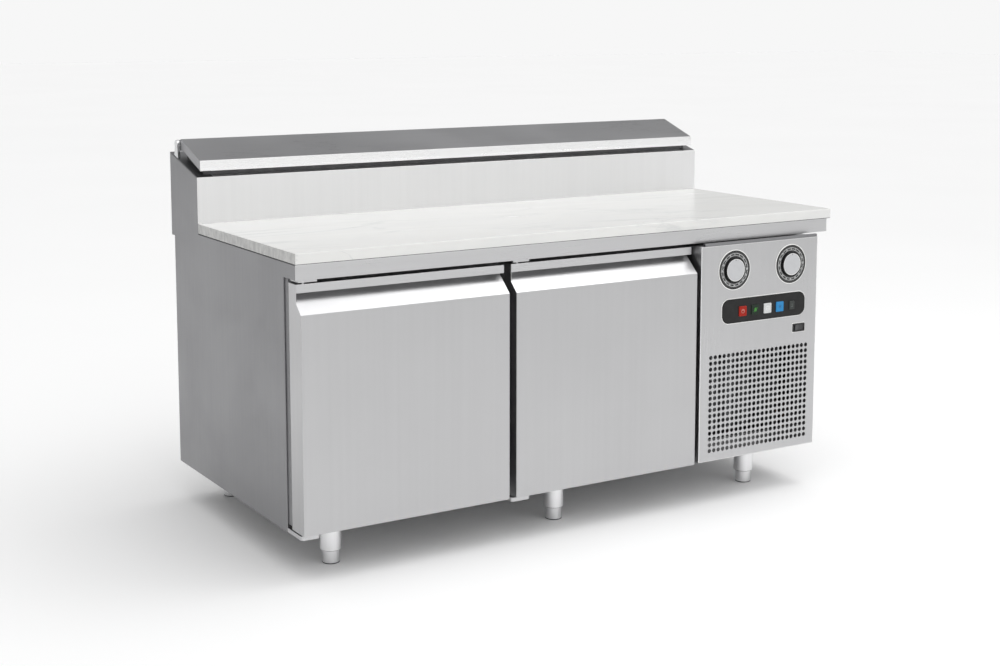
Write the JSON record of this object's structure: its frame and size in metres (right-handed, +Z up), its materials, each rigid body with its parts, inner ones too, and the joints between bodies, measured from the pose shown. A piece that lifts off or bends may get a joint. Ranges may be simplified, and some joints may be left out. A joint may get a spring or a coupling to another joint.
{
  "type": "refrigerated sandwich prep table",
  "caption": "Free-standing refrigerated prep counter: stone worktop, doors with full-width finger grips, vented machine front, raised rear hood with a sloping hinged lid over ingredient pans.",
  "frame": {"origin": "centre of the bounding box's bottom face, on the floor under the feet", "axes": "+X to the right along the worktop, +Y to the back towards the hood, +Z up; the doors face -Y"},
  "size_m": [1.6, 0.825, 0.966],
  "materials": {
    "satin_steel": "satin",
    "bright_steel": "polished",
    "marble": "satin",
    "dark_plastic": "matte",
    "gasket_rubber": "matte",
    "galvanised_steel": "satin",
    "fin_aluminium": "satin",
    "copper": "satin",
    "black_enamel": "gloss",
    "black_plastic": "satin",
    "red_plastic": "gloss",
    "green_plastic": "gloss",
    "white_plastic": "gloss",
    "blue_plastic": "gloss",
    "grey_plastic": "satin"
  },
  "bodies": {
    "cabinet": {"left_side_panel": "satin_steel", "right_side_panel": "satin_steel", "rear_panel": "satin_steel", "cabinet_floor": "satin_steel", "bay_partition": "satin_steel", "door_mullion": "satin_steel", "worktop_subframe": "satin_steel", "hood_front_panel": "satin_steel", "hood_rear_panel": "satin_steel", "hood_end_right": "satin_steel", "well_liner": "satin_steel", "pan_rail_frame": "satin_steel", "vent_panel": "satin_steel", "door_hinge_brackets": "satin_steel", "lid_hinge_lugs": "satin_steel", "shelf_uprights": "satin_steel", "leg_sockets": "satin_steel", "ingredient_pans": "bright_steel", "wire_shelf_1": "bright_steel", "wire_shelf_2": "bright_steel", "cover_screws": "bright_steel", "marble_worktop": "marble", "breaker_frames": "dark_plastic", "machine_rear_cover": "galvanised_steel", "condenser_fan_motor": "galvanised_steel", "evaporator_coil": "fin_aluminium", "condenser_coil": "fin_aluminium", "refrigerant_pipes": "copper", "compressor": "black_enamel", "control_plate": "black_plastic", "dial_scales": "black_plastic", "switch_frame": "black_plastic", "power_inlet": "black_plastic"},
    "door_1": {"door_1_panel": "satin_steel", "door_1_handle": "satin_steel", "door_1_liner": "satin_steel", "door_1_gasket": "gasket_rubber"},
    "door_2": {"door_2_panel": "satin_steel", "door_2_handle": "satin_steel", "door_2_liner": "satin_steel", "door_2_gasket": "gasket_rubber"},
    "lid": {"lid_cover": "satin_steel", "lid_front_trim": "bright_steel", "lid_liner": "dark_plastic", "lid_gasket": "gasket_rubber"},
    "dial_1": {"dial_knob_1": "black_plastic"},
    "dial_2": {"dial_knob_2": "black_plastic"},
    "red_button": {"button_red": "red_plastic"},
    "green_button": {"button_green": "green_plastic"},
    "white_button": {"button_white": "white_plastic"},
    "blue_button": {"button_blue": "blue_plastic"},
    "grey_button": {"button_grey": "grey_plastic"},
    "mains_switch": {"mains_rocker": "black_plastic"},
    "fan": {"fan_blades": "black_plastic"},
    "foot_1": {"levelling_foot_1": "satin_steel"},
    "foot_2": {"levelling_foot_2": "satin_steel"},
    "foot_3": {"levelling_foot_3": "satin_steel"},
    "foot_4": {"levelling_foot_4": "satin_steel"},
    "foot_5": {"levelling_foot_5": "satin_steel"},
    "foot_6": {"levelling_foot_6": "satin_steel"}
  },
  "joints": [
    {"name": "door_1_hinge", "type": "hinge", "parent": "cabinet", "child": "door_1", "pos_m": [-0.78, -0.3735, 0.398], "axis": [0, 0, -1], "range_deg": [0, 95]},
    {"name": "door_2_hinge", "type": "hinge", "parent": "cabinet", "child": "door_2", "pos_m": [-0.214, -0.3735, 0.398], "axis": [0, 0, -1], "range_deg": [0, 95]},
    {"name": "lid_hinge", "type": "hinge", "parent": "cabinet", "child": "lid", "pos_m": [0, 0.3705, 0.948], "axis": [-1, 0, 0], "range_deg": [0, 95]},
    {"name": "dial_1_turn", "type": "hinge", "parent": "cabinet", "child": "dial_1", "pos_m": [0.441, -0.4055, 0.622], "axis": [0, 1, 0], "range_deg": [0, 300]},
    {"name": "dial_2_turn", "type": "hinge", "parent": "cabinet", "child": "dial_2", "pos_m": [0.636, -0.4055, 0.622], "axis": [0, 1, 0], "range_deg": [0, 300]},
    {"name": "red_button_press", "type": "slide", "parent": "cabinet", "child": "red_button", "axis": [0, 1, 0], "range_m": [0, 0.0015], "stiffness_N_per_m": 400},
    {"name": "green_button_press", "type": "slide", "parent": "cabinet", "child": "green_button", "axis": [0, 1, 0], "range_m": [0, 0.0015], "stiffness_N_per_m": 400},
    {"name": "white_button_press", "type": "slide", "parent": "cabinet", "child": "white_button", "axis": [0, 1, 0], "range_m": [0, 0.0015], "stiffness_N_per_m": 400},
    {"name": "blue_button_press", "type": "slide", "parent": "cabinet", "child": "blue_button", "axis": [0, 1, 0], "range_m": [0, 0.0015], "stiffness_N_per_m": 400},
    {"name": "grey_button_press", "type": "slide", "parent": "cabinet", "child": "grey_button", "axis": [0, 1, 0], "range_m": [0, 0.0015], "stiffness_N_per_m": 400},
    {"name": "mains_switch_rock", "type": "hinge", "parent": "cabinet", "child": "mains_switch", "pos_m": [0.6687, -0.4005, 0.4452], "axis": [0, 0, 1], "range_deg": [-16, 0]},
    {"name": "fan_spin", "type": "hinge", "parent": "cabinet", "child": "fan", "pos_m": [0.531, -0.2265, 0.274], "axis": [0, 1, 0], "continuous": true},
    {"name": "foot_1_level", "type": "slide", "parent": "cabinet", "child": "foot_1", "axis": [0, 0, -1], "range_m": [0, 0.03]},
    {"name": "foot_2_level", "type": "slide", "parent": "cabinet", "child": "foot_2", "axis": [0, 0, -1], "range_m": [0, 0.03]},
    {"name": "foot_3_level", "type": "slide", "parent": "cabinet", "child": "foot_3", "axis": [0, 0, -1], "range_m": [0, 0.03]},
    {"name": "foot_4_level", "type": "slide", "parent": "cabinet", "child": "foot_4", "axis": [0, 0, -1], "range_m": [0, 0.03]},
    {"name": "foot_5_level", "type": "slide", "parent": "cabinet", "child": "foot_5", "axis": [0, 0, -1], "range_m": [0, 0.03]},
    {"name": "foot_6_level", "type": "slide", "parent": "cabinet", "child": "foot_6", "axis": [0, 0, -1], "range_m": [0, 0.03]}
  ]
}
